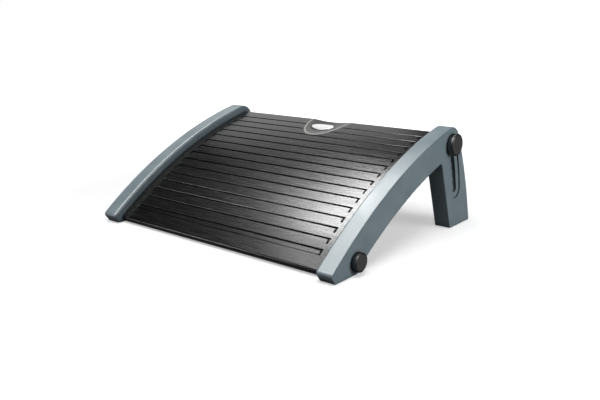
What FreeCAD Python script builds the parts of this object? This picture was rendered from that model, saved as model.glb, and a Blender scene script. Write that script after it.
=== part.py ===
import FreeCAD, Part
import os
import re

import Sketcher
from FreeCAD import Placement, Rotation, Vector

# Adjustable office footrest: a curved ribbed platform hung between two arched side frames.
# Millimetres. X runs to the right, Y to the back, Z up. The origin lies on the floor under the
# middle of the footrest, and the front is at negative Y.

# Driving sizes. A "back" size is measured backwards from the front corner of the frame's toe, and an
# "ahead" size forwards from the heel.
SIZES = {
    # Whole footrest
    "overall_width": 450.0,
    "overall_depth": 375.0,
    "frame_width": 26.0,
    "running_gap": 0.3,
    "shaft_clearance": 0.1,
    "thread_clearance": 0.05,
    # Arch of the side frames
    "arch_radius": 748.0,
    "nose_reach": 7.0,
    "nose_height": 14.6,
    "nose_radius": 5.0,
    "crown_ahead": 62.0,
    "crown_height": 162.6,
    "crown_end_angle": 27.0,
    "arch_band": 42.0,
    "toe_length": 50.0,
    "leg_front_ahead": 65.0,
    "leg_front_angle": 109.2,
    "crotch_radius": 6.0,
    "heel_land": 2.0,
    # Walls of the side frames
    "rim_wall": 3.6,
    "inner_wall": 3.4,
    "inner_edge_radius": 3.8,
    "under_edge_radius": 1.4,
    "outer_edge_radius": 0.7,
    "panel_lip": 1.8,
    "panel_wall": 3.0,
    "panel_gap": 0.15,
    "rib_wall": 2.0,
    # Pivot and height slot
    "pivot_back": 45.3,
    "pivot_depth": 15.9,
    "stud_ahead": 75.2,
    "stud_depth": 13.1,
    "travel_angle": 16.0,
    "slot_width": 10.0,
    "slot_wall": 2.4,
    "track_width": 29.0,
    "track_depth": 2.0,
    "notch_radius": 3.2,
    "notch_depth": 1.6,
    # Platform
    "deck_drop": 12.7,
    "deck_side_gap": 1.0,
    "deck_front_back": 6.0,
    "deck_lip_back": 10.0,
    "deck_floor_gap": 2.4,
    "deck_rear_ahead": 68.0,
    "deck_skin": 3.6,
    "deck_skirt": 16.0,
    "deck_rib": 3.0,
    "deck_lip_radius": 4.5,
    "deck_rear_radius": 1.8,
    "boss_radius": 11.0,
    "boss_length": 26.0,
    # Grooves of the platform
    "groove_ahead": 92.4,
    "groove_pitch": 19.36,
    "groove_margin": 16.4,
    "groove_width": 2.4,
    "groove_depth": 2.2,
    "groove_hook": 8.7,
    "groove_bevel": 0.45,
    "groove_bevel_angle": 44.0,
    "border_width": 1.1,
    "border_depth": 1.0,
    # Dish in the platform's rear edge, and the badge in it
    "dish_reach": 58.5,
    "dish_half_width": 39.0,
    "dish_depth": 3.2,
    "dish_wall": 3.4,
    "dish_border": 0.35,
    "badge_ahead": 94.5,
    "badge_length": 43.0,
    "badge_width": 23.0,
    "badge_rise": 2.6,
    "badge_dome": 48.0,
    "badge_edge": 0.6,
    "badge_seat": 1.2,
    "badge_gap": 0.1,
    # Bolts, knobs and washers
    "bolt_diameter": 6.0,
    "bolt_head_flats": 10.0,
    "bolt_head_height": 4.0,
    "insert_diameter": 9.0,
    "insert_length": 14.0,
    "insert_waist_depth": 0.4,
    "insert_waist_length": 2.8,
    "bush_diameter": 10.0,
    "bush_flange_diameter": 15.0,
    "bush_flange": 1.6,
    "follower_flange_diameter": 15.0,
    "follower_flange": 2.0,
    "front_knob_diameter": 26.0,
    "front_knob_thickness": 7.6,
    "front_washer_diameter": 19.0,
    "front_washer_thickness": 1.0,
    "rear_knob_diameter": 33.0,
    "rear_knob_thickness": 9.6,
    "rear_washer_diameter": 24.0,
    "knob_edge": 0.7,
    "knob_rim": 1.9,
    "knob_cap": 1.6,
    "knob_cap_edge": 0.4,
    "bolt_tip": 0.75,
    "knob_flute_radius": 1.3,
    "knob_flute_depth": 0.5,
    # Feet and panel screws
    "pad_proud": 0.8,
    "pad_pocket": 1.4,
    "pad_margin": 5.0,
    "toe_pad_length": 34.0,
    "leg_pad_length": 48.0,
    "screw_diameter": 3.0,
    "screw_head_diameter": 5.6,
    "screw_head": 1.7,
    "screw_length": 12.0,
    "post_diameter": 7.0,
    "post_toe_gap": 34.0,
    "post_leg_gap": 45.0,
    "post_rib_gap": 22.0,
    "leg_post_ahead": 39.0,
    "leg_post_height": 27.0,
    "leg_rib_low": 14.0,
    "leg_rib_high": 38.0,
}

# How many of each repeated feature there are.
GROOVE_COUNT = 15
NOTCH_COUNT = 7
FLUTE_COUNT = 30
CELL_ROWS = 7
CELL_COLUMNS = 6
ARCH_POST_COUNT = 4

# Places that follow from the sizes.
LAYOUT = {
    "toe_y": "nose_reach - overall_depth / 2",
    "frame_outer": "overall_width / 2",
    "frame_inner": "frame_outer - frame_width",
    # Sizes from the heel, turned into sizes from the toe
    "frame_reach": "overall_depth - nose_reach",
    "crown_back": "frame_reach - crown_ahead",
    "leg_front_back": "frame_reach - leg_front_ahead",
    "stud_back": "frame_reach - stud_ahead",
    "deck_rear_back": "frame_reach - deck_rear_ahead",
    "groove_back": "frame_reach - groove_ahead",
    "badge_back": "frame_reach - badge_ahead",
    "leg_post_back": "frame_reach - leg_post_ahead",
    # Arch through the nose and the crown
    "span_y": "toe_y + crown_back + overall_depth / 2",
    "span_z": "crown_height - nose_height",
    "half_span": "sqrt(span_y ^ 2 + span_z ^ 2) / 2",
    "centre_distance": "sqrt(arch_radius ^ 2 - half_span ^ 2)",
    "centre_y": "span_y / 2 - overall_depth / 2 + centre_distance * span_z / (2 * half_span)",
    "centre_z": "(nose_height + crown_height) / 2 - centre_distance * span_y / (2 * half_span)",
    "under_radius": "arch_radius - arch_band",
    "deck_radius": "arch_radius - deck_drop",
    # Pivot and clamping stud, both hung under the platform's top
    "pivot_y": "toe_y + pivot_back",
    "pivot_z": "centre_z + sqrt((deck_radius - pivot_depth) ^ 2 - (centre_y - pivot_y) ^ 2)",
    "stud_y": "toe_y + stud_back",
    "stud_z": "centre_z + sqrt((deck_radius - stud_depth) ^ 2 - (centre_y - stud_y) ^ 2)",
    "arm": "sqrt((stud_y - pivot_y) ^ 2 + (stud_z - pivot_z) ^ 2)",
    "arm_angle": "atan2(stud_z - pivot_z; stud_y - pivot_y) / 1 deg",
    # Nose round, tangent to the arch and to the slanting toe face
    "nose_y": "nose_radius - overall_depth / 2",
    "nose_z": "centre_z + sqrt((arch_radius - nose_radius) ^ 2 - (centre_y - nose_y) ^ 2)",
    "nose_angle": "asin((centre_y - nose_y) / (arch_radius - nose_radius)) / 1 deg",
    "nose_far": "sqrt((nose_y - toe_y) ^ 2 + (nose_z - pad_proud) ^ 2)",
    "face_angle": "(atan2(nose_z - pad_proud; nose_y - toe_y) + asin(nose_radius / nose_far)) / 1 deg",
    # Crown round about the stud, then the long curve down the back of the leg
    "stud_radius": "sqrt((stud_y - centre_y) ^ 2 + (stud_z - centre_z) ^ 2)",
    "crown_radius": "arch_radius - stud_radius",
    "crown_y": "stud_y + crown_radius * cos(crown_end_angle)",
    "crown_z": "stud_z + crown_radius * sin(crown_end_angle)",
    "heel_y": "overall_depth / 2",
    "heel_z": "pad_proud + heel_land",
    "back_reach": "(crown_y - heel_y) * cos(crown_end_angle) + (crown_z - heel_z) * sin(crown_end_angle)",
    "back_radius": "((heel_y - crown_y) ^ 2 + (heel_z - crown_z) ^ 2) / (2 * back_reach)",
    "back_y": "crown_y - back_radius * cos(crown_end_angle)",
    "back_z": "crown_z - back_radius * sin(crown_end_angle)",
    # Inner corner between the arch and the leg
    "leg_front_y": "toe_y + leg_front_back",
    "corner_y": "leg_front_y - crotch_radius * sin(leg_front_angle) - centre_y",
    "corner_z": "pad_proud + crotch_radius * cos(leg_front_angle) - centre_z",
    "corner_along": "corner_y * cos(leg_front_angle) + corner_z * sin(leg_front_angle)",
    "leg_rise": "sqrt(corner_along ^ 2 - corner_y ^ 2 - corner_z ^ 2 + (under_radius - crotch_radius) ^ 2)"
                " - corner_along",
    "crotch_y": "centre_y + corner_y + leg_rise * cos(leg_front_angle)",
    "crotch_z": "centre_z + corner_z + leg_rise * sin(leg_front_angle)",
    # Screw posts along the arch
    "post_first": "toe_length + post_toe_gap",
    "post_last": "leg_front_back - post_leg_gap",
    "post_pitch": f"(post_last - post_first) / {ARCH_POST_COUNT - 1}",
    # Platform, in its own polar frame about the arch's centre
    "deck_width": "overall_width - 2 * frame_width - 2 * deck_side_gap",
    "boss_face": "frame_inner - running_gap",
    "deck_front_y": "toe_y + deck_front_back - centre_y",
    "deck_lip_y": "toe_y + deck_lip_back - centre_y",
    "deck_floor_z": "deck_floor_gap - centre_z",
    "deck_rear_angle": "asin((centre_y - toe_y - deck_rear_back) / deck_radius) / 1 deg",
    "skirt_radius": "deck_radius - deck_skirt",
    "cell_front_angle": "acos((deck_floor_z + deck_rib) / skirt_radius) / 1 deg",
    "cell_rear_angle": "deck_rear_angle + deck_rib / deck_radius * 180 / pi",
    "rib_angle": "deck_rib / deck_radius * 180 / pi",
    "groove_angle": "asin((centre_y - toe_y - groove_back) / deck_radius) / 1 deg",
    "groove_step": "groove_pitch / deck_radius * 180 / pi",
    "groove_half": "deck_width / 2 + deck_side_gap - groove_margin",
    # Dish: a straight hollow, deepest at the rear edge, that runs out of the arch in front
    "dish_front_angle": "asin((centre_y - toe_y - deck_rear_back + dish_reach) / deck_radius) / 1 deg",
    "dish_run": "deck_radius * sin(dish_front_angle) - (deck_radius - dish_depth) * sin(deck_rear_angle)",
    "dish_climb": "(deck_radius - dish_depth) * cos(deck_rear_angle) - deck_radius * cos(dish_front_angle)",
    "dish_turn": "atan(dish_climb / dish_run) / 1 deg",
    "dish_level": "deck_radius * cos(dish_front_angle - dish_turn)",
    "dish_arc": "(dish_half_width ^ 2 + dish_depth ^ 2) / (2 * dish_depth)",
    "badge_y": "toe_y + badge_back",
    "badge_z": "centre_z + dish_level / cos(dish_turn) + (badge_y - centre_y) * tan(dish_turn)",
    # Outer side of the frames, from the panel out to the knobs
    "track_floor": "frame_outer - track_depth",
    "knob_base": "frame_outer + 2 * running_gap",
}

X_AXIS = Vector(1, 0, 0)
SIDEWAYS = Rotation(Vector(1, 1, 1), 120)   # turns X, Y and Z into Y, Z and X
MARGIN = 1.0                                # how far a cutting tool stands clear of what it cuts
TOUCH = 0.02                                # how near two places are when they count as one

doc = FreeCAD.newDocument("footrest")
sheet = doc.addObject("Spreadsheet::Sheet", "sizes")
layout = doc.addObject("App::VarSet", "layout")


def formula(text):
    """A formula in plain names, with each name pointed at its cell or its place."""
    def place(word):
        name = word.group()
        if name in SIZES:
            return "sizes." + name
        if name in LAYOUT:
            return "layout." + name
        return name
    return re.sub(r"[a-z_]+", place, str(text))


def value(text):
    """What a formula comes to."""
    result = layout.evalExpression(formula(text))
    return float(getattr(result, "Value", result))


def bind(thing, **formulas):
    """Tie properties to formulas. A double underscore stands for a dot."""
    for name, text in formulas.items():
        thing.setExpression(name.replace("__", "."), formula(text))


def fill_sheet():
    for row, (name, number) in enumerate(SIZES.items(), start=1):
        sheet.set(f"A{row}", name)
        sheet.set(f"B{row}", str(number))
        sheet.setAlias(f"B{row}", name)
    doc.recompute()
    for name, text in LAYOUT.items():
        layout.addProperty("App::PropertyFloat", name)
        layout.setExpression(name, formula(text))
        doc.recompute()


fill_sheet()


# Sketch helpers

def free_sketch(name):
    """A sketch in the side plane, for pieces that are built from plain solids."""
    sketch = doc.addObject("Sketcher::SketchObject", name)
    sketch.Placement = Placement(Vector(), SIDEWAYS)
    return sketch


def body_sketch(body, name, plane, turn=None, **offsets):
    """A sketch on a body's own plane, moved by the given formulas and turned about its X."""
    sketch = body.newObject("Sketcher::SketchObject", name)
    support = [item for item in body.Origin.OriginFeatures if item.Role == plane][0]
    sketch.AttachmentSupport = [(support, "")]
    sketch.MapMode = "FlatFace"
    if turn:
        sketch.AttachmentOffset = Placement(Vector(), Rotation(X_AXIS, 1))
        bind(sketch, AttachmentOffset__Rotation__Angle=turn)
    for axis, text in offsets.items():
        sketch.setExpression("AttachmentOffset.Base." + axis, formula(text))
    return sketch


def draw(sketch, corners):
    """Draw a closed outline. Each corner is (across, up) or (across, up, radius, side): the edge
    that leaves it is then an arc, whose centre lies to the left (side 1) or the right (-1)."""
    first = sketch.GeometryCount
    points = [Vector(value(corner[0]), value(corner[1]), 0) for corner in corners]
    count = len(corners)
    for index, corner in enumerate(corners):
        start = points[index]
        end = points[(index + 1) % count]
        if len(corner) == 2:
            sketch.addGeometry(Part.LineSegment(start, end))
            continue
        chord = end - start
        radius = value(corner[2])
        left = Vector(-chord.y, chord.x, 0).normalize()
        middle = (start + end) / 2
        sag = radius - (radius ** 2 - chord.Length ** 2 / 4) ** 0.5
        sketch.addGeometry(Part.Arc(start, middle - left * corner[3] * sag, end))
    for index, corner in enumerate(corners):
        this = first + index
        after = first + (index + 1) % count
        end_of = 2
        start_of = 1
        if len(corner) == 4 and corner[3] < 0:
            end_of = 1
        if len(corners[(index + 1) % count]) == 4 and corners[(index + 1) % count][3] < 0:
            start_of = 2
        sketch.addConstraint(Sketcher.Constraint("Coincident", this, end_of, after, start_of))
        own_start = 2 if len(corner) == 4 and corner[3] < 0 else 1
        for kind, text in (("DistanceX", corner[0]), ("DistanceY", corner[1])):
            size = value(text)
            number = sketch.addConstraint(Sketcher.Constraint(kind, -1, 1, this, own_start, size))
            sketch.setExpression(f"Constraints[{number}]", formula(text))
        if len(corner) == 4:
            number = sketch.addConstraint(Sketcher.Constraint("Radius", this, value(corner[2])))
            sketch.setExpression(f"Constraints[{number}]", formula(corner[2]))
    return sketch


def polar(radius, angle):
    """A point about the arch's centre, at an angle in degrees forward of upright."""
    return f"-({radius}) * sin({angle})", f"({radius}) * cos({angle})"


# Helpers for plain solids

def rod(name, radius, start, length, y="0", z="0"):
    """A cylinder along X."""
    item = doc.addObject("Part::Cylinder", name)
    item.Placement = Placement(Vector(), Rotation(Vector(0, 1, 0), 90))
    bind(item, Radius=radius, Height=length,
         Placement__Base__x=start, Placement__Base__y=y, Placement__Base__z=z)
    return item


def block(name, start, length, y, depth, z, height):
    item = doc.addObject("Part::Box", name)
    bind(item, Length=length, Width=depth, Height=height,
         Placement__Base__x=start, Placement__Base__y=y, Placement__Base__z=z)
    return item


def push(name, base, start, length):
    """Push a side outline out along X."""
    item = doc.addObject("Part::Extrusion", name)
    item.Base = base
    item.DirMode = "Custom"
    item.Dir = X_AXIS
    item.Solid = True
    bind(item, LengthFwd=length, Placement__Base__x=start)
    return item


def cut(name, base, *tools):
    item = doc.addObject("Part::Cut", name)
    item.Base = base
    item.Tool = tools[0] if len(tools) == 1 else fuse(name + "_tool", *tools)
    return item


def fuse(name, *shapes):
    item = doc.addObject("Part::MultiFuse", name)
    item.Shapes = list(shapes)
    return item


def common(name, *shapes):
    item = doc.addObject("Part::MultiCommon", name)
    item.Shapes = list(shapes)
    return item


def tube(name, outer, inner, start, length, y="0", z="0"):
    bore = rod(name + "_bore", inner, f"{start} - {MARGIN}", f"{length} + 2 * {MARGIN}", y, z)
    return cut(name, rod(name + "_blank", outer, start, length, y, z), bore)


def round_edges(name, base, choose):
    """Round the edges for which choose gives a radius."""
    doc.recompute()
    item = doc.addObject("Part::Fillet", name)
    item.Base = base
    edges = []
    for number, edge in enumerate(base.Shape.Edges, start=1):
        radius = choose(edge)
        if radius:
            edges.append((number, radius, radius))
    item.Edges = edges
    return item


def arc_track(name, half_width, start, length):
    """A curved slot about the pivot that a stud of the given half width sweeps in its travel."""
    sweep = rod(name + "_sweep", f"arm + {half_width}", start, length)
    sweep.Placement = Placement(Vector(), SIDEWAYS)
    bind(sweep, Placement__Base__x=start, Angle="travel_angle")
    inside = rod(name + "_inside", f"arm - ({half_width})", f"{start} - {MARGIN}",
                 f"{length} + 2 * {MARGIN}")
    low = rod(name + "_low", half_width, start, length, y="arm")
    high = rod(name + "_high", half_width, start, length,
               y="arm * cos(travel_angle)", z="arm * sin(travel_angle)")
    track = fuse(name, cut(name + "_ring", sweep, inside), low, high)
    track.Placement = Placement(Vector(), Rotation(X_AXIS, 1))
    bind(track, Placement__Base__y="pivot_y", Placement__Base__z="pivot_z",
         Placement__Rotation__Angle="arm_angle - travel_angle")
    return track


# Finished pieces, by node name
nodes = {}


def keep(piece, label):
    piece.Label = label
    nodes[label] = piece
    return piece


def keep_pair(piece, label):
    """Keep a right-hand piece and its mirror image on the left."""
    keep(piece, "right_" + label)
    twin = doc.addObject("Part::Mirroring", "left_" + label)
    twin.Source = piece
    twin.Normal = X_AXIS
    keep(twin, "left_" + label)


# Side frames: a moulded arch and leg in one, closed on the inner side and open on the outer one

def frame_outline(name, inset="0"):
    """The side view of a frame, from the toe round the back of the foot, leg and arch. The inset
    draws the same outline at an even distance inside it."""
    floor = f"(pad_proud + {inset})"
    foot_y = f"(toe_y + toe_length - {inset})"
    arch = f"(arch_radius - {inset})"
    under = f"(under_radius + {inset})"
    crotch = f"(crotch_radius + {inset})"
    nose = f"(nose_radius - {inset})"
    back = f"(back_radius - {inset})"
    crown = f"(crown_radius - {inset})"
    face_y = f"(nose_y - {nose} * sin(face_angle))"
    face_z = f"(nose_z + {nose} * cos(face_angle))"
    leg_y = f"(crotch_y + {crotch} * sin(leg_front_angle))"
    leg_z = f"(crotch_z - {crotch} * cos(leg_front_angle))"
    land = f"({floor} + heel_land)"
    heel = f"(back_y + sqrt({back} ^ 2 - ({land} - back_z) ^ 2))"
    sketch = free_sketch(name)
    return draw(sketch, [
        (f"{face_y} + ({floor} - {face_z}) / tan(face_angle)", floor),
        (foot_y, floor),
        (foot_y, f"centre_z + sqrt({under} ^ 2 - (centre_y - {foot_y}) ^ 2)", under, -1),
        (f"centre_y + (crotch_y - centre_y) * {under} / (under_radius - crotch_radius)",
         f"centre_z + (crotch_z - centre_z) * {under} / (under_radius - crotch_radius)", crotch, -1),
        (leg_y, leg_z),
        (f"{leg_y} + ({floor} - {leg_z}) / tan(leg_front_angle)", floor),
        (heel, floor),
        (heel, land, back, 1),
        (f"stud_y + {crown} * cos(crown_end_angle)", f"stud_z + {crown} * sin(crown_end_angle)", crown, 1),
        (f"centre_y + (stud_y - centre_y) * {arch} / stud_radius",
         f"centre_z + (stud_z - centre_z) * {arch} / stud_radius", arch, 1),
        (f"centre_y - {arch} * sin(nose_angle)", f"centre_z + {arch} * cos(nose_angle)", nose, 1),
        (face_y, face_z),
    ])


def along_arch(back, depth):
    """The point at a distance back from the toe and a depth under the arch's top."""
    y = f"toe_y + {back}"
    return y, f"centre_z + sqrt((arch_radius - ({depth})) ^ 2 - (centre_y - ({y})) ^ 2)"


def post_places():
    """Where the panel's screw posts stand."""
    places = []
    for number in range(ARCH_POST_COUNT):
        places.append(along_arch(f"post_first + post_pitch * {number}", "arch_band / 2"))
    places.append(("toe_y + leg_post_back", "leg_post_height"))
    return places


def rounded_frame():
    """The whole frame as a solid with its long edges rounded."""
    inner = value("frame_inner")
    outer = value("frame_outer")
    floor = value("pad_proud")
    top_radius = value("inner_edge_radius")
    under_radius = value("under_edge_radius")
    lip_radius = value("outer_edge_radius")
    centre = Vector(inner, value("centre_y"), value("centre_z"))
    deck_level = value("deck_radius - deck_skirt")
    leg_back = value("(leg_front_y + heel_y) / 2")

    def choose(edge):
        box = edge.BoundBox
        if box.XLength > TOUCH or box.ZMax < floor + TOUCH:
            return None
        if abs(box.XMin - outer) < TOUCH:
            return lip_radius
        middle = edge.valueAt((edge.FirstParameter + edge.LastParameter) / 2)
        above = middle.sub(centre).Length > deck_level
        return top_radius if above or middle.y > leg_back else under_radius

    blank = push("frame_blank", frame_outline("frame_outline"), "frame_inner", "frame_width")
    return round_edges("frame_solid", blank, choose)


def frame_ribs(cavity):
    """Thin walls across the hollow of a frame: one on each side of every screw post but the last,
    which has the walls of the slot behind it, and two across the leg."""
    start = "frame_inner + inner_wall / 2"
    length = "frame_width - inner_wall / 2 - panel_wall - panel_gap"
    ribs = []
    for number in range(ARCH_POST_COUNT):
        post = f"toe_y + post_first + post_pitch * {number}"
        ribs.append(block(f"front_rib_{number + 1}", start, length, f"{post} - post_rib_gap - rib_wall",
                          "rib_wall", "0", "crown_height"))
        if number < ARCH_POST_COUNT - 1:
            ribs.append(block(f"rear_rib_{number + 1}", start, length, f"{post} + post_rib_gap",
                              "rib_wall", "0", "crown_height"))
    for height in ("leg_rib_low", "leg_rib_high"):
        ribs.append(block(height + "_wall", start, length, "0", "heel_y", height, "rib_wall"))
    reach = push("rib_reach", cavity, start, length)
    return common("frame_ribs", fuse("rib_blanks", *ribs), reach)


def pad_blocks(name):
    """The spaces that the two rubber pads of a frame fill, in the toe and under the leg."""
    start = "frame_inner + pad_margin"
    width = "frame_width - 2 * pad_margin"
    height = "pad_proud + pad_pocket"
    toe = block(name + "_toe", start, width, "toe_y + (toe_length - toe_pad_length) / 2", "toe_pad_length",
                "0", height)
    leg = block(name + "_leg", start, width, "(leg_front_y + heel_y - leg_pad_length) / 2", "leg_pad_length",
                "0", height)
    return toe, leg


def side_frame():
    cavity_outline = frame_outline("cavity_outline", "rim_wall")
    seat_outline = frame_outline("seat_outline", "panel_lip")
    cavity = push("cavity", cavity_outline, "frame_inner + inner_wall", "frame_width")
    seat = push("panel_seat", seat_outline, "frame_outer - panel_wall", "frame_width")
    hollow = cut("frame_hollow", rounded_frame(), cavity, seat)

    inside = "frame_inner + inner_wall / 2"
    wall_end = "track_floor - slot_wall - panel_gap"
    slot_walls = arc_track("slot_walls", "slot_width / 2 + slot_wall", inside, f"{wall_end} - ({inside})")
    pivot_wall = rod("pivot_wall", "bush_diameter / 2 + slot_wall", inside,
                     f"frame_outer - panel_wall - panel_gap - ({inside})", "pivot_y", "pivot_z")
    pivot_wall_trimmed = common("pivot_wall_trimmed", pivot_wall,
                                push("pivot_reach", cavity_outline, "frame_inner", "frame_width"))
    walled = fuse("frame_walled", hollow, frame_ribs(cavity_outline), slot_walls, pivot_wall_trimmed)

    through = f"frame_width + 2 * {MARGIN}"
    before = f"frame_inner - {MARGIN}"
    slot = arc_track("frame_slot", "slot_width / 2", before, through)
    bore = rod("frame_pivot_bore", "bush_diameter / 2 + shaft_clearance", before, through,
               "pivot_y", "pivot_z")
    flange_seat = rod("flange_seat", "bush_flange_diameter / 2 + shaft_clearance", before,
                      f"bush_flange + {MARGIN}", "pivot_y", "pivot_z")
    tools = [slot, bore, flange_seat, *pad_blocks("pad_pocket")]
    for number, (y, z) in enumerate(post_places(), start=1):
        tools.append(rod(f"screw_hole_{number}", "screw_diameter / 2 + shaft_clearance", before, through,
                         y, z))
        tools.append(rod(f"head_hole_{number}", "screw_head_diameter / 2 + shaft_clearance", before,
                         f"screw_head + shaft_clearance + {MARGIN}", y, z))
        tools.append(rod(f"post_room_{number}", "post_diameter / 2 + panel_gap", "frame_inner + inner_wall",
                         "frame_width", y, z))
    keep_pair(cut("side_frame", walled, *tools), "side_frame")


def side_panel():
    """The flat outer cover of a frame, with the sunk track and notched slot of the height setting."""
    panel_outline = frame_outline("panel_outline", "(panel_lip + panel_gap)")
    plate = push("panel_plate", panel_outline, "frame_outer - panel_wall", "panel_wall")
    tray = arc_track("panel_tray", "track_width / 2 + slot_wall", "track_floor - slot_wall",
                     "track_depth + slot_wall - panel_wall / 2")
    posts = []
    holes = []
    post_start = "frame_inner + inner_wall + panel_gap"
    for number, (y, z) in enumerate(post_places(), start=1):
        posts.append(rod(f"post_{number}", "post_diameter / 2", post_start,
                         f"frame_outer - panel_wall / 2 - ({post_start})", y, z))
        holes.append(rod(f"post_hole_{number}", "screw_diameter / 2 + thread_clearance",
                         f"{post_start} - {MARGIN}", f"screw_length + {MARGIN}", y, z))
    solid = fuse("panel_solid", plate, tray, *posts)

    out = f"track_depth + {MARGIN}"
    track = arc_track("panel_track", "track_width / 2", "track_floor", out)
    slot = arc_track("panel_slot", "slot_width / 2", "frame_inner", f"frame_width + {MARGIN}")
    spot = rod("washer_seat", "front_washer_diameter / 2 + running_gap",
               "frame_outer - front_washer_thickness", f"front_washer_thickness + {MARGIN}",
               "pivot_y", "pivot_z")
    bore = rod("panel_pivot_bore", "bush_diameter / 2 + shaft_clearance", "frame_inner",
               f"frame_width + {MARGIN}", "pivot_y", "pivot_z")
    notches = []
    reach = "(arm - slot_width / 2 + notch_radius - notch_depth)"
    for number in range(NOTCH_COUNT):
        turn = f"(arm_angle - travel_angle * {number} / {NOTCH_COUNT - 1})"
        notches.append(rod(f"notch_{number + 1}", "notch_radius", "frame_inner", f"frame_width + {MARGIN}",
                           f"pivot_y + {reach} * cos({turn})", f"pivot_z + {reach} * sin({turn})"))
    keep_pair(cut("side_panel", solid, track, slot, spot, bore, *notches, *holes), "side_panel")


def panel_screws():
    """The self-tapping screws that hold a panel, in from the inner side of the frame."""
    screws = []
    for number, (y, z) in enumerate(post_places(), start=1):
        head = rod(f"screw_head_{number}", "screw_head_diameter / 2", "frame_inner + shaft_clearance",
                   "screw_head", y, z)
        shank = rod(f"screw_shank_{number}", "screw_diameter / 2",
                    "frame_inner + shaft_clearance + screw_head / 2", "screw_length", y, z)
        cross = fuse(f"cross_{number}",
                     block(f"cross_up_{number}", "frame_inner", "screw_head / 2 + shaft_clearance",
                           f"{y} - screw_head / 4", "screw_head / 2",
                           f"{z} - screw_diameter / 2", "screw_diameter"),
                     block(f"cross_over_{number}", "frame_inner", "screw_head / 2 + shaft_clearance",
                           f"{y} - screw_diameter / 2", "screw_diameter",
                           f"{z} - screw_head / 4", "screw_head / 2"))
        screws.append(cut(f"screw_{number}", fuse(f"screw_blank_{number}", head, shank), cross))
    group = doc.addObject("Part::Compound", "panel_screws")
    group.Links = screws
    keep_pair(group, "panel_screws")


def foot_pads():
    """Rubber pads glued in the floor pockets."""
    corner = value("pad_margin") / 2

    def choose(edge):
        return corner if edge.BoundBox.ZLength > TOUCH else None

    for name, pad in zip(("front_foot_pad", "rear_foot_pad"), pad_blocks("pad")):
        keep_pair(round_edges(name, pad, choose), name)


# Platform: one moulding with a ribbed underside, four bosses and a dish in its rear edge

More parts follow.
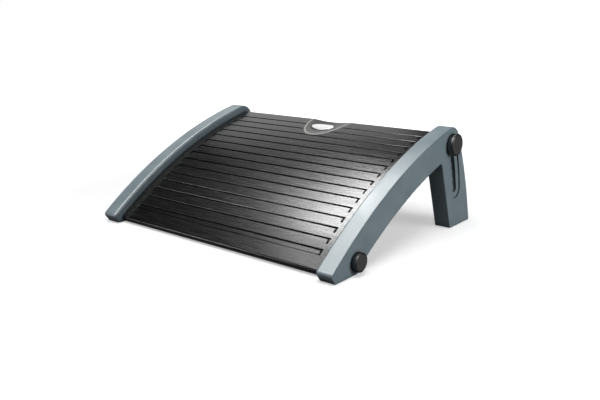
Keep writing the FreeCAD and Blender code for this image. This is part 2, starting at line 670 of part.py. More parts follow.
def platform():
    body = doc.addObject("PartDesign::Body", "platform")

    section = body_sketch(body, "deck_section", "YZ_Plane", x="centre_y", y="centre_z")
    rear_top = polar("deck_radius", "deck_rear_angle")
    rear_low = polar("skirt_radius", "deck_rear_angle")
    draw(section, [
        ("deck_front_y", "sqrt(deck_radius ^ 2 - deck_front_y ^ 2)", "deck_radius", -1),
        rear_top,
        (*rear_low, "skirt_radius", 1),
        ("-sqrt(skirt_radius ^ 2 - deck_floor_z ^ 2)", "deck_floor_z"),
        ("deck_lip_y", "deck_floor_z"),
    ])
    pad = body.newObject("PartDesign::Pad", "deck_blank")
    pad.Profile = section
    pad.SideType = "Symmetric"
    bind(pad, Length="deck_width")

    # Hollows between the underside ribs, one column of them repeated across the width
    column = body_sketch(body, "cell_section", "YZ_Plane", x="centre_y", y="centre_z",
                         z="deck_rib - deck_width / 2")
    row_angle = f"((cell_front_angle - cell_rear_angle + rib_angle) / {CELL_ROWS})"
    for row in range(CELL_ROWS):
        rear = f"(cell_rear_angle + {row_angle} * {row})"
        front = f"({rear} + {row_angle} - rib_angle)"
        draw(column, [
            (*polar("deck_radius - deck_skin", front), "deck_radius - deck_skin", -1),
            polar("deck_radius - deck_skin", rear),
            (*polar(f"skirt_radius - {MARGIN}", rear), f"skirt_radius - {MARGIN}", 1),
            polar(f"skirt_radius - {MARGIN}", front),
        ])
    cells = body.newObject("PartDesign::Pocket", "cells")
    cells.Profile = column
    cells.Reversed = True
    cell_width = f"((deck_width - deck_rib * {CELL_COLUMNS + 1}) / {CELL_COLUMNS})"
    bind(cells, Length=cell_width)
    across = body.newObject("PartDesign::LinearPattern", "cell_columns")
    across.Originals = [cells]
    across.Direction = (section, ["N_Axis"])
    across.Occurrences = CELL_COLUMNS
    bind(across, Length=f"({cell_width} + deck_rib) * {CELL_COLUMNS - 1}")
    body.Tip = across

    # Bosses for the pivots and the clamping studs
    for side, name in ((1, "right"), (-1, "left")):
        face = "boss_face" if side > 0 else "-boss_face"
        bosses = body_sketch(body, f"{name}_boss_section", "YZ_Plane", z=face)
        for y, z in (("pivot_y", "pivot_z"), ("stud_y", "stud_z")):
            ring(bosses, y, z, "boss_radius")
        boss = body.newObject("PartDesign::Pad", f"{name}_bosses")
        boss.Profile = bosses
        boss.Reversed = side > 0
        bind(boss, Length="boss_length")

    # Thicker floor under the dish
    low_radius = "(deck_radius - dish_depth - dish_wall)"
    floor_section = body_sketch(body, "dish_floor_section", "YZ_Plane", x="centre_y", y="centre_z")
    draw(floor_section, [
        (*polar("deck_radius - deck_skin / 2", "dish_front_angle"), "deck_radius - deck_skin / 2", -1),
        polar("deck_radius - deck_skin / 2", "deck_rear_angle"),
        (*polar(low_radius, "deck_rear_angle"), low_radius, 1),
        polar(low_radius, "dish_front_angle"),
    ])
    floor = body.newObject("PartDesign::Pad", "dish_floor")
    floor.Profile = floor_section
    floor.SideType = "Symmetric"
    bind(floor, Length="2 * (dish_half_width + deck_rib)")

    # Front lip and rear edge
    half_width = value("deck_width") / 2

    def long_edge(y_text):
        edge_y = value("centre_y") + value(y_text)

        def choose(edge):
            box = edge.BoundBox
            long = box.XLength > half_width and max(arch_depths(edge)) < TOUCH
            return long and abs(box.Center.y - edge_y) < TOUCH
        return choose

    round_body_edges(body, "lip_round", "deck_lip_radius", long_edge("deck_front_y"))
    round_body_edges(body, "rear_round", "deck_rear_radius",
                     long_edge("-deck_radius * sin(deck_rear_angle)"))

    # Staple-shaped grooves, repeated round the arch's centre
    bevel = groove_sketch(body, "bevel_section", "groove_width + 2 * groove_bevel")
    bevels = body.newObject("PartDesign::Pocket", "groove_bevel")
    bevels.Profile = bevel
    bind(bevels, Length="groove_bevel", TaperAngle="-groove_bevel_angle")
    channel = groove_sketch(body, "groove_section", "groove_width")
    grooves = body.newObject("PartDesign::Pocket", "groove")
    grooves.Profile = channel
    bind(grooves, Length="groove_depth")
    pattern = body.newObject("PartDesign::PolarPattern", "grooves")
    pattern.Originals = [bevels, grooves]
    pattern.Axis = (section, ["N_Axis"])
    pattern.Occurrences = GROOVE_COUNT
    bind(pattern, Angle=f"groove_step * {GROOVE_COUNT - 1}")
    body.Tip = pattern

    # Fine line that closes the last groove into a frame
    last = f"(groove_angle + groove_step * {GROOVE_COUNT - 1} + groove_hook / deck_radius * 180 / pi)"
    line = body_sketch(body, "border_section", "XY_Plane", turn=last,
                       y=f"centre_y - deck_radius * sin({last})", z=f"centre_z + deck_radius * cos({last})")
    draw(line, [
        ("-groove_half", "0"),
        ("groove_half", "0"),
        ("groove_half", "border_width"),
        ("-groove_half", "border_width"),
    ])
    border = body.newObject("PartDesign::Pocket", "border_line")
    border.Profile = line
    bind(border, Length="border_depth")

    # Blind bores for the threaded inserts, and the sunk seats of the slot followers
    for side, name in ((1, "right"), (-1, "left")):
        face = "boss_face" if side > 0 else "-boss_face"
        bores = body_sketch(body, f"{name}_bore_section", "YZ_Plane", z=face)
        for y, z in (("pivot_y", "pivot_z"), ("stud_y", "stud_z")):
            ring(bores, y, z, "insert_diameter / 2")
        bore = body.newObject("PartDesign::Pocket", f"{name}_insert_bores")
        bore.Profile = bores
        bore.Reversed = side < 0
        bind(bore, Length="boss_length - deck_rib")
        seats = body_sketch(body, f"{name}_seat_section", "YZ_Plane", z=face)
        ring(seats, "stud_y", "stud_z", "follower_flange_diameter / 2 + thread_clearance")
        seat = body.newObject("PartDesign::Pocket", f"{name}_follower_seat")
        seat.Profile = seats
        seat.Reversed = side < 0
        bind(seat, Length="follower_flange")

    # The grooves stop at the border of the dish: they are filled there, and the dish is cut out
    reach = "(dish_half_width + deck_rib)"
    shell = tube("dish_fill_shell", "deck_radius", f"deck_radius - groove_depth - {MARGIN} / 2",
                 f"-{reach}", f"2 * {reach}", "centre_y", "centre_z")
    rows = block("dish_fill_rows", f"-{reach}", f"2 * {reach}", "toe_y + deck_rear_back - dish_reach",
                 "dish_reach - deck_rear_back + groove_back + 2 * groove_width", "pivot_z", "crown_height")
    filled = fuse("platform_filled", body, common("dish_fill", shell, rows, dish_bar("dish_edge", "dish_border")))
    filled.Refine = True
    dished = cut("platform_dished", filled, dish_bar("dish", "0"))
    seat = oval("badge_seat", "badge_length + 2 * badge_gap", "badge_width + 2 * badge_gap",
                "badge_seat", "badge_rise")
    keep(cut("platform_whole", dished, seat), "platform")


def dish_bar(name, extra):
    """The round bar that cuts the dish, sunk deeper by extra. Its foot is where it lies deepest."""
    bar = doc.addObject("Part::Cylinder", name)
    bar.Placement = Placement(Vector(), Rotation(Vector(-1, 0, 0), 1))
    middle = f"(dish_level - ({extra}) + dish_arc)"
    bind(bar, Radius="dish_arc", Height="4 * dish_reach", Placement__Rotation__Angle="90 - dish_turn",
         Placement__Base__y=f"centre_y - {middle} * sin(dish_turn) - 2 * dish_reach * cos(dish_turn)",
         Placement__Base__z=f"centre_z + {middle} * cos(dish_turn) - 2 * dish_reach * sin(dish_turn)")
    return bar


def oval(name, length, width, below, above):
    """An oval block, square to the dish, that reaches below and above the dish's floor."""
    edge = doc.addObject("Part::Ellipse", name + "_edge")
    bind(edge, MajorRadius=f"({length}) / 2", MinorRadius=f"({width}) / 2")
    item = doc.addObject("Part::Extrusion", name)
    item.Base = edge
    item.DirMode = "Custom"
    item.Dir = Vector(0, 0, 1)
    item.Solid = True
    item.Placement = Placement(Vector(), Rotation(X_AXIS, 1))
    bind(item, LengthFwd=f"({below}) + ({above})", Placement__Rotation__Angle="dish_turn",
         Placement__Base__y=f"badge_y + ({below}) * sin(dish_turn)",
         Placement__Base__z=f"badge_z - ({below}) * cos(dish_turn)")
    return item


def ring(sketch, y, z, radius):
    """A circle whose centre and radius follow the sheet."""
    number = sketch.addGeometry(Part.Circle(Vector(value(y), value(z), 0), Vector(0, 0, 1), value(radius)))
    for kind, text in (("DistanceX", y), ("DistanceY", z)):
        index = sketch.addConstraint(Sketcher.Constraint(kind, -1, 1, number, 3, value(text)))
        sketch.setExpression(f"Constraints[{index}]", formula(text))
    index = sketch.addConstraint(Sketcher.Constraint("Radius", number, value(radius)))
    sketch.setExpression(f"Constraints[{index}]", formula(radius))


def round_body_edges(body, name, radius, choose):
    """Round the edges of a body so far that choose picks."""
    doc.recompute()
    found = [f"Edge{number}" for number, edge in enumerate(body.Tip.Shape.Edges, start=1) if choose(edge)]
    fillet = body.newObject("PartDesign::Fillet", name)
    fillet.Base = (fillet.BaseFeature, found)
    bind(fillet, Radius=radius)


def arch_depths(edge):
    """How far under the platform's top the ends and the middle of an edge lie."""
    centre_y = value("centre_y")
    centre_z = value("centre_z")
    deck = value("deck_radius")
    first = edge.FirstParameter
    last = edge.LastParameter
    points = [edge.valueAt(first + (last - first) * share) for share in (0, 0.5, 1)]
    return [deck - Vector(0, point.y - centre_y, point.z - centre_z).Length for point in points]


def groove_sketch(body, name, width):
    """One groove seen from above: a bar across the platform with a short leg forward at each end."""
    sketch = body_sketch(body, name, "XY_Plane", turn="groove_angle",
                         y="centre_y - deck_radius * sin(groove_angle)",
                         z="centre_z + deck_radius * cos(groove_angle)")
    half = f"(groove_half + ({width} - groove_width) / 2)"
    rear = f"(({width}) / 2)"
    front = f"(-groove_hook - ({width} - groove_width) / 2)"
    leg = f"({half} - ({width}))"
    return draw(sketch, [
        (f"-{half}", rear),
        (f"-{half}", front),
        (f"-{leg}", front),
        (f"-{leg}", f"-{rear}"),
        (leg, f"-{rear}"),
        (leg, front),
        (half, front),
        (half, rear),
    ])


# Badge: a domed oval plate without any mark, glued into the dish

def badge():
    blank = oval("badge_blank", "badge_length", "badge_width", "badge_seat", "badge_rise + badge_dome")
    sink = "(badge_rise - badge_dome)"
    dome = rod("badge_top", "badge_dome", "-badge_length", "2 * badge_length",
               f"badge_y - {sink} * sin(dish_turn)", f"badge_z + {sink} * cos(dish_turn)")
    plate = common("badge_plate", blank, dome)
    turn = value("dish_turn")
    foot = Vector(0, value("badge_y"), value("badge_z"))
    upward = Rotation(X_AXIS, turn).multVec(Vector(0, 0, 1))
    edge_radius = value("badge_edge")

    def choose(edge):
        ends = [edge.valueAt(number) for number in (edge.FirstParameter, edge.LastParameter)]
        return edge_radius if min(point.sub(foot).dot(upward) for point in ends) > 0 else None

    keep(round_edges("badge_rounded", plate, choose), "badge")


# Pivot bushes and slot followers: plain plastic sleeves round the bolts

def pivot_bush():
    y = "pivot_y"
    z = "pivot_z"
    sleeve = rod("bush_sleeve", "bush_diameter / 2", "frame_inner",
                 "frame_width - front_washer_thickness", y, z)
    flange = rod("bush_collar", "bush_flange_diameter / 2", "frame_inner", "bush_flange", y, z)
    bore = rod("bush_bore", "bolt_diameter / 2 + shaft_clearance", f"frame_inner - {MARGIN}",
               f"frame_width + 2 * {MARGIN}", y, z)
    keep_pair(cut("pivot_bush", fuse("bush_solid", sleeve, flange), bore), "pivot_bush")


def slot_follower():
    y = "stud_y"
    z = "stud_z"
    start = "boss_face - follower_flange"
    length = f"track_floor - running_gap - ({start})"
    sleeve = rod("follower_sleeve", "slot_width / 2 - running_gap", start, length, y, z)
    flange = rod("follower_collar", "follower_flange_diameter / 2", start, "follower_flange", y, z)
    bore = rod("follower_bore", "bolt_diameter / 2 + shaft_clearance", f"{start} - {MARGIN}",
               f"{length} + 2 * {MARGIN}", y, z)
    keep_pair(cut("slot_follower", fuse("follower_solid", sleeve, flange), bore), "slot_follower")


def threaded_insert(label, face, y, z):
    """A brass insert with one waist groove, moulded into a boss."""
    start = f"({face}) - insert_length"
    shell = tube(label + "_shell", "insert_diameter / 2", "bolt_diameter / 2 + thread_clearance", start,
                 "insert_length", y, z)
    waist = tube(label + "_waist", "insert_diameter", "insert_diameter / 2 - insert_waist_depth",
                 f"{start} + (insert_length - insert_waist_length) / 2", "insert_waist_length", y, z)
    keep_pair(cut(label, shell, waist), label)


# Hand knobs: a fluted plastic grip moulded round a hexagon bolt, closed by a flat cap

def washer(label, diameter, thickness, seat, y, z):
    keep_pair(tube(label, f"{diameter} / 2", "bolt_diameter / 2 + running_gap", f"{seat} + running_gap",
                   thickness, y, z), label)


def knob(label, diameter, thickness, y, z):
    body = doc.addObject("PartDesign::Body", label + "_grip")
    profile = body_sketch(body, label + "_profile", "XY_Plane")
    radius = f"({diameter} / 2)"
    cap_floor = f"({thickness} - knob_cap)"
    bore = "bolt_diameter / 2 + thread_clearance"
    draw(profile, [
        ("0", bore),
        (cap_floor, bore),
        (cap_floor, f"{radius} - knob_rim"),
        (thickness, f"{radius} - knob_rim"),
        (thickness, f"{radius} - knob_edge"),
        (f"{thickness} - knob_edge", radius),
        ("knob_edge", radius),
        ("0", f"{radius} - knob_edge"),
    ])
    turned = body.newObject("PartDesign::Revolution", label + "_turned")
    turned.Profile = profile
    turned.ReferenceAxis = (profile, ["H_Axis"])
    turned.Angle = 360

    flute_sketch = body_sketch(body, label + "_flute_section", "YZ_Plane")
    ring(flute_sketch, "0", f"{radius} + knob_flute_radius - knob_flute_depth", "knob_flute_radius")
    flute = body.newObject("PartDesign::Pocket", label + "_flute")
    flute.Profile = flute_sketch
    flute.Reversed = True
    bind(flute, Length=f"{thickness} - knob_edge")
    pattern = body.newObject("PartDesign::PolarPattern", label + "_flutes")
    pattern.Originals = [flute]
    pattern.Axis = (profile, ["H_Axis"])
    pattern.Angle = 360
    pattern.Occurrences = FLUTE_COUNT
    body.Tip = pattern

    hexagon = body_sketch(body, label + "_head_section", "YZ_Plane", z=f"{cap_floor} - bolt_head_height")
    across = "(bolt_head_flats / 2 + thread_clearance)"
    draw(hexagon, [(f"{across} / cos(30) * cos({turn})", f"{across} / cos(30) * sin({turn})")
                   for turn in range(0, 360, 60)])
    pocket = body.newObject("PartDesign::Pocket", label + "_head_pocket")
    pocket.Profile = hexagon
    pocket.Reversed = True
    bind(pocket, Length="bolt_head_height")
    bind(body, Placement__Base__x="knob_base", Placement__Base__y=y, Placement__Base__z=z)
    keep_pair(body, label)

    head_start = f"knob_base + {cap_floor} - bolt_head_height"
    cap = rod(label + "_cap_disc", f"{radius} - knob_rim - thread_clearance", f"knob_base + {cap_floor}",
              "knob_cap", y, z)
    rim_radius = value("knob_cap_edge")

    def choose(edge):
        return rim_radius if edge.BoundBox.XMin > cap_face - TOUCH else None

    doc.recompute()
    cap_face = cap.Shape.BoundBox.XMax
    keep_pair(round_edges(label + "_cap", cap, choose), label + "_cap")
    return head_start


def knob_bolt(label, head_start, reach, y, z):
    """A hexagon bolt, whose tip ends in the platform's insert."""
    head = doc.addObject("Part::Prism", label + "_head")
    head.Placement = Placement(Vector(), SIDEWAYS)
    bind(head, Circumradius="bolt_head_flats / 2 / cos(30)", Height="bolt_head_height",
         Placement__Base__x=head_start, Placement__Base__y=y, Placement__Base__z=z)
    length = f"{head_start} - ({reach}) + bolt_head_height / 2"
    shank = rod(label + "_shank", "bolt_diameter / 2", reach, length, y, z)
    size = value("bolt_tip")

    doc.recompute()
    tip = shank.Shape.BoundBox.XMin
    chamfer = doc.addObject("Part::Chamfer", label + "_tip")
    chamfer.Base = shank
    chamfer.Edges = [(number, size, size) for number, edge in enumerate(shank.Shape.Edges, start=1)
                     if edge.BoundBox.XMax < tip + TOUCH]
    keep_pair(fuse(label, head, chamfer), label)


def clamp(place, diameter, thickness, washer_diameter, washer_thickness, seat, insert_face, y, z):
    """One hand knob with its bolt, washer and threaded insert."""
    washer(place + "_washer", washer_diameter, washer_thickness, seat, y, z)
    head_start = knob(place + "_knob", diameter, thickness, y, z)
    threaded_insert(place + "_insert", insert_face, y, z)
    knob_bolt(place + "_bolt", head_start, f"({insert_face}) - insert_length + {MARGIN}", y, z)


def write_parts():
    doc.recompute()
    for item in doc.Objects:
        if "Invalid" in item.State or "Error" in item.State:
            raise RuntimeError(f"{item.Label} did not build: {item.State}")
    os.makedirs("parts", exist_ok=True)
    for label, item in nodes.items():
        shape = item.Shape
        if shape.isNull() or not shape.isValid():
            raise RuntimeError(f"{label} has no sound shape")
        shape.exportStep(os.path.join("parts", label + ".step"))
        print(f"{label}: {len(shape.Solids)} solid(s), {shape.Volume / 1000:.2f} cm3")


side_frame()
side_panel()
panel_screws()
foot_pads()
platform()
badge()
pivot_bush()
slot_follower()
clamp("front", "front_knob_diameter", "front_knob_thickness", "front_washer_diameter",
      "front_washer_thickness", "frame_outer - front_washer_thickness", "boss_face", "pivot_y", "pivot_z")
clamp("rear", "rear_knob_diameter", "rear_knob_thickness", "rear_washer_diameter",
      "track_depth", "track_floor", "boss_face - follower_flange", "stud_y", "stud_z")
write_parts()
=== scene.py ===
import math

import bmesh
import bpy
from mathutils import Matrix, Vector


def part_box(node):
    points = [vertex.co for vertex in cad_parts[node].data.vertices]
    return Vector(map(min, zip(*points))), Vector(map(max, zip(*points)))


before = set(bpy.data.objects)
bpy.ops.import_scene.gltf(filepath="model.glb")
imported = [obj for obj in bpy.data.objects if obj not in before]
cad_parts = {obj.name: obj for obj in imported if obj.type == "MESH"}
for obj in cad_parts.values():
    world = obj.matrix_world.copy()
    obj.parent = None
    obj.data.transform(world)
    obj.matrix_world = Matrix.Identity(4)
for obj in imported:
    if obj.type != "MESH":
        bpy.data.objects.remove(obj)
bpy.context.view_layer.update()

# An adjustable office footrest. Metres; X to the right, Y to the back, Z up, the floor at Z = 0.


# Camera
# Stands in front of the footrest and to its right, about twice as high as its top, and looks
# slightly down across it.
CAMERA_PLACE = (0.6813, -0.8189, 0.3137)
CAMERA_HEADING = 38.69
CAMERA_TILT = 14.73
CAMERA_LENS = 41.26
CAMERA_SENSOR = 36

camera_data = bpy.data.cameras.new("camera")
camera_data.lens = CAMERA_LENS
camera_data.sensor_width = CAMERA_SENSOR
camera = bpy.data.objects.new("camera", camera_data)
camera.location = CAMERA_PLACE
camera.rotation_euler = (math.radians(90 - CAMERA_TILT), 0, math.radians(CAMERA_HEADING))
bpy.context.scene.collection.objects.link(camera)
bpy.context.scene.camera = camera


# Studio floor and backdrop
# A wide white sheet. It is a dull grey to the lamps, so that it doesn't light the footrest from
# below, and the camera sees it lifted to white, with the soft shadow left in it.
FLOOR_SIZE = 80.0
FLOOR_BELOW = 0.0004
FLOOR_SEEN = (0.66, 0.66, 0.665, 1)
FLOOR_GREY = (0.14, 0.14, 0.142, 1)
BACKDROP_WHITE = (1, 1, 1, 1)
# The lift grows over this span of distances from the middle, between these strengths
LIFT_SPAN = (0.45, 1.2)
LIFT_STRENGTH = (0.42, 1.0)


def new_material(name):
    """An empty node material, with its tree and its output."""
    material = bpy.data.materials.new(name)
    material.use_nodes = True
    material.node_tree.nodes.clear()
    return material, material.node_tree, material.node_tree.nodes.new("ShaderNodeOutputMaterial")


def feed(tree, socket, source):
    """Link a socket to a source, or set it where the source is a plain value."""
    if isinstance(source, bpy.types.NodeSocket):
        tree.links.new(source, socket)
    else:
        socket.default_value = source


def node(tree, kind, **inputs):
    """A new node with its inputs fed by name. An underscore stands for a space."""
    made = tree.nodes.new(kind)
    for name, source in inputs.items():
        feed(tree, made.inputs[name.replace("_", " ")], source)
    return made


def maths(tree, operation, *sources, clamp=False):
    """A maths node's result."""
    made = tree.nodes.new("ShaderNodeMath")
    made.operation = operation
    made.use_clamp = clamp
    for socket, source in zip(made.inputs, sources):
        feed(tree, socket, source)
    return made.outputs["Value"]


def spread(tree, source, span, result=(0.0, 1.0)):
    """Stretch the values of a span to those of the result, and hold them inside it."""
    made = node(tree, "ShaderNodeMapRange", Value=source, From_Min=span[0], From_Max=span[1],
                To_Min=result[0], To_Max=result[1])
    return made.outputs["Result"]


def blended(tree, share, first, second):
    """Two colours mixed by a share of the second."""
    made = tree.nodes.new("ShaderNodeMix")
    made.data_type = "RGBA"
    feed(tree, made.inputs[0], share)
    feed(tree, made.inputs[6], first)
    feed(tree, made.inputs[7], second)
    return made.outputs[2]


def distance(tree, vector):
    """The length of a vector."""
    made = tree.nodes.new("ShaderNodeVectorMath")
    made.operation = "LENGTH"
    feed(tree, made.inputs[0], vector)
    return made.outputs["Value"]


def object_place(tree):
    """The place on the piece, in metres."""
    return node(tree, "ShaderNodeTexCoord").outputs["Object"]


floor_material, tree, output = new_material("studio_floor")
light_path = node(tree, "ShaderNodeLightPath")
seen = maths(tree, "MAXIMUM", light_path.outputs["Is Camera Ray"],
             light_path.outputs["Is Transmission Ray"])
strength = spread(tree, distance(tree, object_place(tree)), LIFT_SPAN, LIFT_STRENGTH)
lit = node(tree, "ShaderNodeBsdfDiffuse", Color=blended(tree, seen, FLOOR_GREY, FLOOR_SEEN))
lift = node(tree, "ShaderNodeEmission", Color=BACKDROP_WHITE,
            Strength=maths(tree, "MULTIPLY", seen, strength))
both = node(tree, "ShaderNodeAddShader")
feed(tree, both.inputs[0], lit.outputs["BSDF"])
feed(tree, both.inputs[1], lift.outputs["Emission"])
feed(tree, output.inputs["Surface"], both.outputs["Shader"])

sheet = bmesh.new()
bmesh.ops.create_grid(sheet, x_segments=1, y_segments=1, size=FLOOR_SIZE / 2,
                      matrix=Matrix.Translation((0, 0, -FLOOR_BELOW)))
floor_mesh = bpy.data.meshes.new("studio_floor")
sheet.to_mesh(floor_mesh)
sheet.free()
floor_mesh.materials.append(floor_material)
floor = bpy.data.objects.new("studio_floor", floor_mesh)
bpy.context.scene.collection.objects.link(floor)


# Studio light
# A white room that lights little, an overhead softbox and two fills, from the right and from
# behind, light the forms. The cards after them only leave their sheen.
ROOM_LIGHT = 0.07
ROOM_SHEEN = 0.006

world = bpy.data.worlds.new("studio")
world.use_nodes = True
tree = world.node_tree
tree.nodes.clear()
light_path = node(tree, "ShaderNodeLightPath")
room = maths(tree, "ADD", light_path.outputs["Is Camera Ray"],
             maths(tree, "MULTIPLY", light_path.outputs["Is Diffuse Ray"], ROOM_LIGHT))
room = maths(tree, "ADD", room,
             maths(tree, "MULTIPLY", light_path.outputs["Is Glossy Ray"], ROOM_SHEEN))
background = node(tree, "ShaderNodeBackground", Color=BACKDROP_WHITE, Strength=room)
feed(tree, node(tree, "ShaderNodeOutputWorld").inputs["Surface"], background.outputs["Background"])
bpy.context.scene.world = world


def softbox(name, aim, heading, away, size, power, diffuse=False, glossy=True):
    """A rectangular lamp that faces its aim. It stands away from it in the heading's direction."""
    data = bpy.data.lights.new(name, "AREA")
    data.shape = "RECTANGLE"
    data.size, data.size_y = size
    data.energy = power
    lamp = bpy.data.objects.new(name, data)
    heading = Vector(heading).normalized()
    lamp.location = Vector(aim) + heading * away
    lamp.rotation_euler = (-heading).to_track_quat("-Z", "Y").to_euler()
    lamp.visible_camera = False
    lamp.visible_diffuse = diffuse
    lamp.visible_glossy = glossy
    bpy.context.scene.collection.objects.link(lamp)


softbox("overhead_softbox", aim=(0, 0, 0), heading=(0.14, -0.42, 1.0), away=1.8,
        size=(1.4, 1.2), power=31, diffuse=True)
softbox("right_fill", aim=(0, 0, 0.05), heading=(1.0, 0.20, 0.30), away=1.8,
        size=(1.0, 0.8), power=15, diffuse=True)
softbox("rear_fill", aim=(0, 0, 0.05), heading=(-0.80, 0.90, 0.35), away=1.8,
        size=(1.0, 0.8), power=9, diffuse=True, glossy=False)
# On the platform: its right part, then its rear end
softbox("front_sheen", aim=(0.17, -0.06, 0.08), heading=(-0.533, 0.171, 0.829), away=1.4,
        size=(0.69, 0.12), power=11.5)
softbox("rear_sheen", aim=(-0.06, 0.11, 0.14), heading=(-0.672, 0.614, 0.415), away=1.8,
        size=(1.1, 0.97), power=3.5)
# On edges that face forwards, and then on what is seen from behind
softbox("edge_sheen", aim=(0.20, 0, 0.10), heading=(-0.44, -0.54, 0.71), away=1.5,
        size=(0.25, 0.50), power=11)
softbox("front_card", aim=(0, 0, 0.10), heading=(0.62, -0.78, 0.14), away=2.0,
        size=(1.8, 0.6), power=4)
# On the platform's front lip, and on its foremost bars at the right
softbox("lip_sheen", aim=(0.05, -0.18, 0.01), heading=(-0.68, -0.72, 0.08), away=1.5,
        size=(0.45, 0.14), power=3.5)
softbox("toe_sheen", aim=(0.17, -0.15, 0.02), heading=(-0.56, -0.16, 0.79), away=1.5,
        size=(0.40, 0.08), power=1.4)

bpy.context.scene.view_settings.view_transform = "Standard"


# Side frames and their outer panels
# Each side is an arch and a leg moulded in one from blue-grey plastic, with a fine spark-eroded
# grain, and a flat cover of the same plastic let into its outer side. Painted shade darkens their
# corners, the panels' walls and the frames' faces towards the middle.
FRAME_BLUE = (0.150, 0.205, 0.232, 1)
FRAME_BLUE_LIGHT = (0.185, 0.245, 0.272, 1)
FRAME_EDGE = (0.30, 0.37, 0.40, 1)
FRAME_PAINTED_SHADE = (0.008, 0.014, 0.017, 1)
FRAME_ROUGHNESS = (0.36, 0.46)
FRAME_GRAIN = 0.00045
FRAME_GRAIN_DEPTH = 0.00003
FRAME_CLOUD = 0.035
FRAME_EDGE_WIDTH = 0.0008
FRAME_CORNER_REACH = 0.009
# How strongly each layer shows over the plain colour, and what a corner leaves of the gloss.
# The corner, wall and inner layers are painted shade.
FRAME_GRAIN_SHARE = 0.25
FRAME_RUBBED_SHARE = 0.5
FRAME_CORNER_SHADE_SHARE = 0.95
FRAME_CORNER_GLOSS = 0.1
PANEL_WALL_SHADE_SHARE = 0.95
FRAME_INNER_SHADE_SHARE = 0.45
# Where the layers begin and end. Most of a noise lies between 0.3 and 0.7. The wall's span is of
# the normal's X without its sign, and the inner one's of the normal's X times the place's X.
NOISE_SPAN = (0.3, 0.7)
CLOUD_SPAN = (0.35, 0.65)
FRAME_GRAIN_SPAN = (0.45, 0.75)
CORNER_SPAN = (0.25, 0.75)
WALL_SPAN = (0.4, 0.7)
INNER_SPAN = (-0.16, -0.04)


def group_sockets(group, inputs, outputs):
    """Name the sockets of a shader node group. Gives those to read from and those to feed."""
    for name, value in inputs.items():
        socket = group.interface.new_socket(name, in_out="INPUT", socket_type="NodeSocketFloat")
        socket.default_value = value
    for name in outputs:
        group.interface.new_socket(name, in_out="OUTPUT", socket_type="NodeSocketFloat")
    return group.nodes.new("NodeGroupInput").outputs, group.nodes.new("NodeGroupOutput").inputs


def noise(tree, size, detail, roughness=0.55, vector=None):
    """Soft noise, 0 to 1, whose blotches have about the given size in metres."""
    made = node(tree, "ShaderNodeTexNoise", Detail=detail, Roughness=roughness,
                Vector=vector or object_place(tree))
    if isinstance(size, bpy.types.NodeSocket):
        feed(tree, made.inputs["Scale"], maths(tree, "DIVIDE", 1.0, size))
    else:
        made.inputs["Scale"].default_value = 1 / size
    return made.outputs["Fac"]


def closed_in(tree, reach):
    """How far the surfaces within a reach close a place in, 0 to 1."""
    shade = node(tree, "ShaderNodeAmbientOcclusion", Distance=reach)
    shade.samples = 4
    return maths(tree, "SUBTRACT", 1.0, shade.outputs["AO"], clamp=True)


# Fine mould grain, and the slow drift of tone that a large moulding has
FINE_SHARE = 0.6
PIT_SHARE = 0.5
PIT_DENSITY = 0.7

mould_grain = tree = bpy.data.node_groups.new("mould_grain", "ShaderNodeTree")
asked, given = group_sockets(tree, {"Grain Size": 0.0005, "Cloud Size": 0.03}, ["Grain", "Cloud"])
fine = noise(tree, asked["Grain Size"], detail=2.0)
pits = node(tree, "ShaderNodeTexVoronoi", Vector=object_place(tree),
            Scale=maths(tree, "DIVIDE", PIT_DENSITY, asked["Grain Size"])).outputs["Distance"]
grain = maths(tree, "ADD", maths(tree, "MULTIPLY", fine, FINE_SHARE),
              maths(tree, "MULTIPLY", pits, PIT_SHARE))
feed(tree, given["Grain"], grain)
feed(tree, given["Cloud"], noise(tree, asked["Cloud Size"], detail=4.0))

# Where edges are rubbed, in patches and not in corners, and how far corners are closed in, which
# gives the materials their painted shade
RUBBED_SPAN = (0.02, 0.25)
PATCH_SIZE = 0.006
PATCH_SPAN = (0.35, 0.70)
CLOSED_SPAN = (0.3, 0.6)

edge_and_corner = tree = bpy.data.node_groups.new("edge_and_corner", "ShaderNodeTree")
asked, given = group_sockets(tree, {"Edge Width": 0.0006, "Corner Reach": 0.003},
                             ["Edge", "Corner"])
bevel = node(tree, "ShaderNodeBevel", Radius=asked["Edge Width"])
bevel.samples = 4
across = tree.nodes.new("ShaderNodeVectorMath")
across.operation = "DOT_PRODUCT"
feed(tree, across.inputs[0], bevel.outputs["Normal"])
feed(tree, across.inputs[1], node(tree, "ShaderNodeNewGeometry").outputs["Normal"])
turned_away = maths(tree, "SUBTRACT", 1.0, across.outputs["Value"])
patches = spread(tree, noise(tree, PATCH_SIZE, detail=5.0), PATCH_SPAN)
edge = maths(tree, "MULTIPLY", spread(tree, turned_away, RUBBED_SPAN), patches)
corner = closed_in(tree, asked["Corner Reach"])
open_edge = maths(tree, "SUBTRACT", 1.0, spread(tree, corner, CLOSED_SPAN))
feed(tree, given["Edge"], maths(tree, "MULTIPLY", edge, open_edge))
feed(tree, given["Corner"], corner)


def grouped(tree, group, **inputs):
    """A node group placed in a material. Gives its outputs."""
    made = tree.nodes.new("ShaderNodeGroup")
    made.node_tree = group
    for name, source in inputs.items():
        feed(tree, made.inputs[name.replace("_", " ")], source)
    return made.outputs


def layered(tree, colour, *layers):
    """A colour with others laid over it one by one, each with the share that it covers."""
    for share, over in layers:
        colour = blended(tree, share, colour, over)
    return colour


